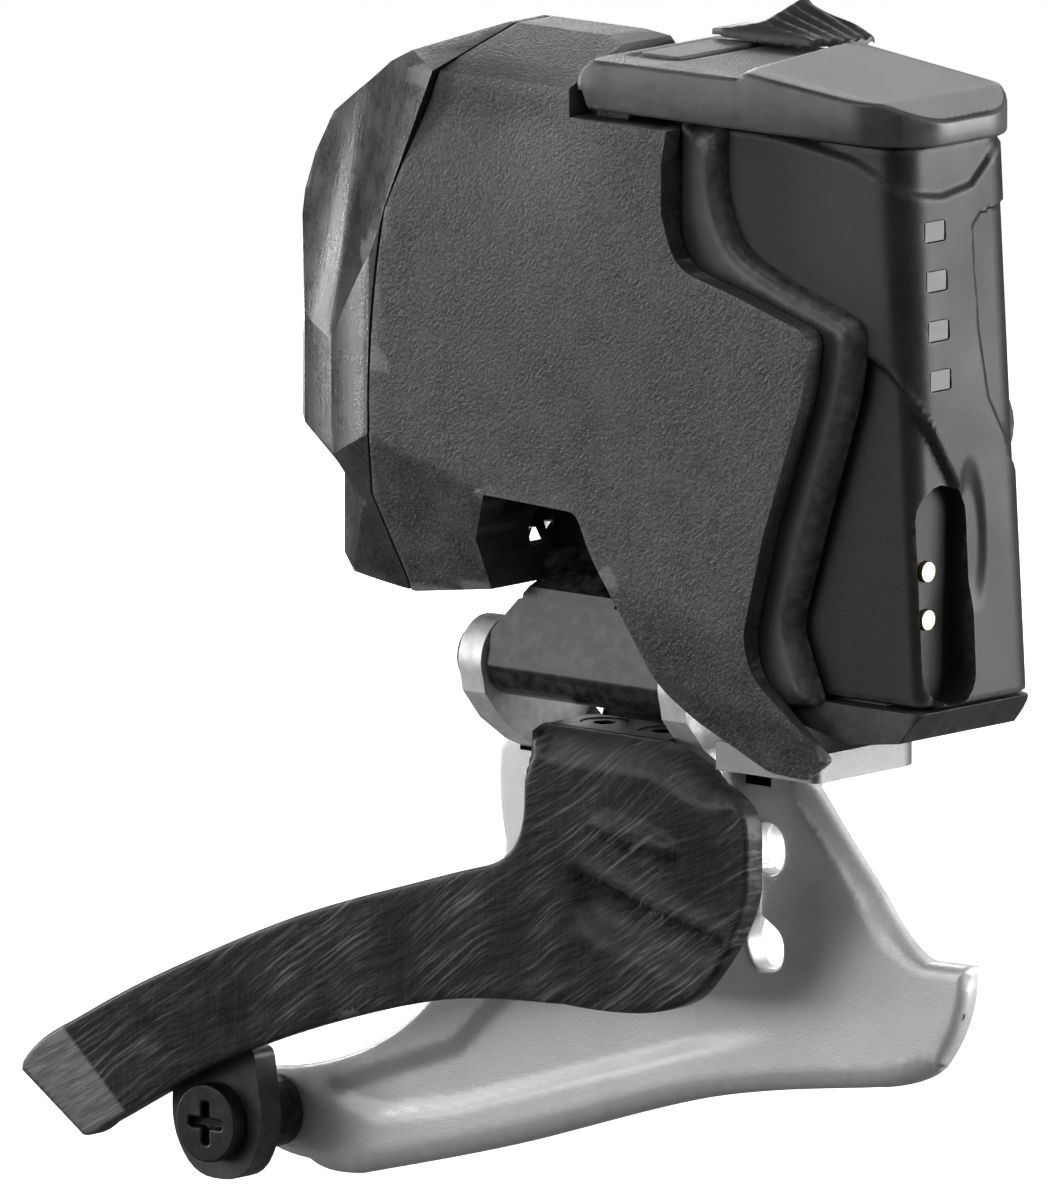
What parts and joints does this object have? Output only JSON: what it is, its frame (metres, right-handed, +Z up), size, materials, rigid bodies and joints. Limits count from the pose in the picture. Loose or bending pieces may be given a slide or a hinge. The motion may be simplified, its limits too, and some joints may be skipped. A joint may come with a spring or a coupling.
{
  "type": "front derailleur",
  "caption": "Electric bicycle front derailleur: faceted body, clip-in battery under a latch lid, parallelogram links and a chain cage with a curved outer blade.",
  "frame": {"origin": "reference point on the flat crown of the hanger seat, 3.8 mm inboard of the axis of the hanger bolt", "axes": "+X to the front of the bicycle and out of the mount seat, +Y inboard towards the frame, +Z up"},
  "size_m": [0.108, 0.0355, 0.1134],
  "materials": {
    "composite": "moulded fibre composite, mottled, matt",
    "plastic": "satin moulded plastic",
    "dark_plastic": "fine-grained dark plastic",
    "gloss_black": "gloss black lacquer",
    "carbon": "streaked carbon fibre under satin lacquer",
    "blasted_aluminium": "bead-blasted",
    "steel": "turned",
    "black_steel": "black oxide",
    "brass": "turned or plated",
    "rubber": "moulded",
    "board": "solder mask",
    "clear": "frosted",
    "cell": "foil pouch"
  },
  "bodies": {
    "body": {"main_cover": "composite", "rear_cap": "composite", "rear_cap_seal": "rubber", "chassis": "blasted_aluminium", "battery_frame": "dark_plastic", "contact_block": "dark_plastic", "spring_contact_upper": "brass", "spring_contact_lower": "brass", "circuit_board": "board", "gearbox_plate": "steel", "motor_can": "steel", "idler_shaft": "steel", "outer_link_upper_pin": "steel", "inner_link_upper_pin": "steel", "outer_link_upper_clip": "black_steel", "inner_link_upper_clip": "black_steel", "mount_bolt": "black_steel", "mount_washer": "steel", "support_screw": "black_steel", "cover_screw_rear": "black_steel", "cover_screw_front": "black_steel", "lid_pin": "steel"},
    "battery": {"battery_shell": "plastic", "battery_end_cap": "plastic", "battery_cell": "cell", "battery_board": "board", "charge_contact_upper": "brass", "charge_contact_lower": "brass", "light_guide": "clear", "battery_contact_plate": "brass"},
    "lid": {"latch_lid": "plastic"},
    "key": {"mode_key": "plastic"},
    "tab": {"thumb_tab": "dark_plastic"},
    "outer_link": {"outer_link": "gloss_black", "sector_gear": "steel"},
    "inner_link": {"inner_link": "gloss_black"},
    "idler": {"idler_gear": "brass"},
    "rotor": {"motor_pinion": "brass", "motor_shaft": "steel"},
    "cage": {"outer_cage_plate": "carbon", "inner_cage_plate": "blasted_aluminium", "bridge_screw_rear": "black_steel", "bridge_screw_front": "black_steel", "outer_link_lower_pin": "steel", "inner_link_lower_pin": "steel", "outer_link_lower_clip": "black_steel", "inner_link_lower_clip": "black_steel", "tail_lug": "dark_plastic", "tail_spacer": "black_steel", "tail_screw": "black_steel"}
  },
  "joints": [
    {"name": "shift", "type": "hinge", "parent": "body", "child": "outer_link", "pos_m": [-0.0165, -0.0203, -0.0073], "axis": [1, 0, 0], "range_deg": [-4, 34]},
    {"name": "inner_link_swing", "type": "hinge", "parent": "body", "child": "inner_link", "pos_m": [-0.0165, -0.0076, -0.019], "axis": [1, 0, 0], "range_deg": [-4, 34]},
    {"name": "cage_pivot", "type": "hinge", "parent": "outer_link", "child": "cage", "pos_m": [-0.0165, -0.0263, -0.0223], "axis": [1, 0, 0], "range_deg": [-34, 4]},
    {"name": "idler_spin", "type": "hinge", "parent": "body", "child": "idler", "pos_m": [-0.0235, -0.0203, 0.0059], "axis": [1, 0, 0], "range_deg": [-91, 11]},
    {"name": "motor_spin", "type": "hinge", "parent": "body", "child": "rotor", "pos_m": [-0.0235, -0.0203, 0.0179], "axis": [1, 0, 0], "range_deg": [-33, 273]},
    {"name": "battery_slide", "type": "slide", "parent": "body", "child": "battery", "axis": [1, 0, 0], "range_m": [0, 0.03]},
    {"name": "lid_open", "type": "hinge", "parent": "body", "child": "lid", "pos_m": [-0.0087, -0.0238, 0.0326], "axis": [0, -1, 0], "range_deg": [0, 58]},
    {"name": "tab_push", "type": "slide", "parent": "lid", "child": "tab", "axis": [-1, 0, 0], "range_m": [0, 0.0008]},
    {"name": "key_press", "type": "slide", "parent": "lid", "child": "key", "axis": [0, 0, -1], "range_m": [0, 0.0005]}
  ],
  "couplings": [
    {"joint": "inner_link_swing", "follows": "shift", "ratio": 1},
    {"joint": "cage_pivot", "follows": "shift", "ratio": -1},
    {"joint": "idler_spin", "follows": "shift", "ratio": -2.6667},
    {"joint": "motor_spin", "follows": "shift", "ratio": 8}
  ]
}
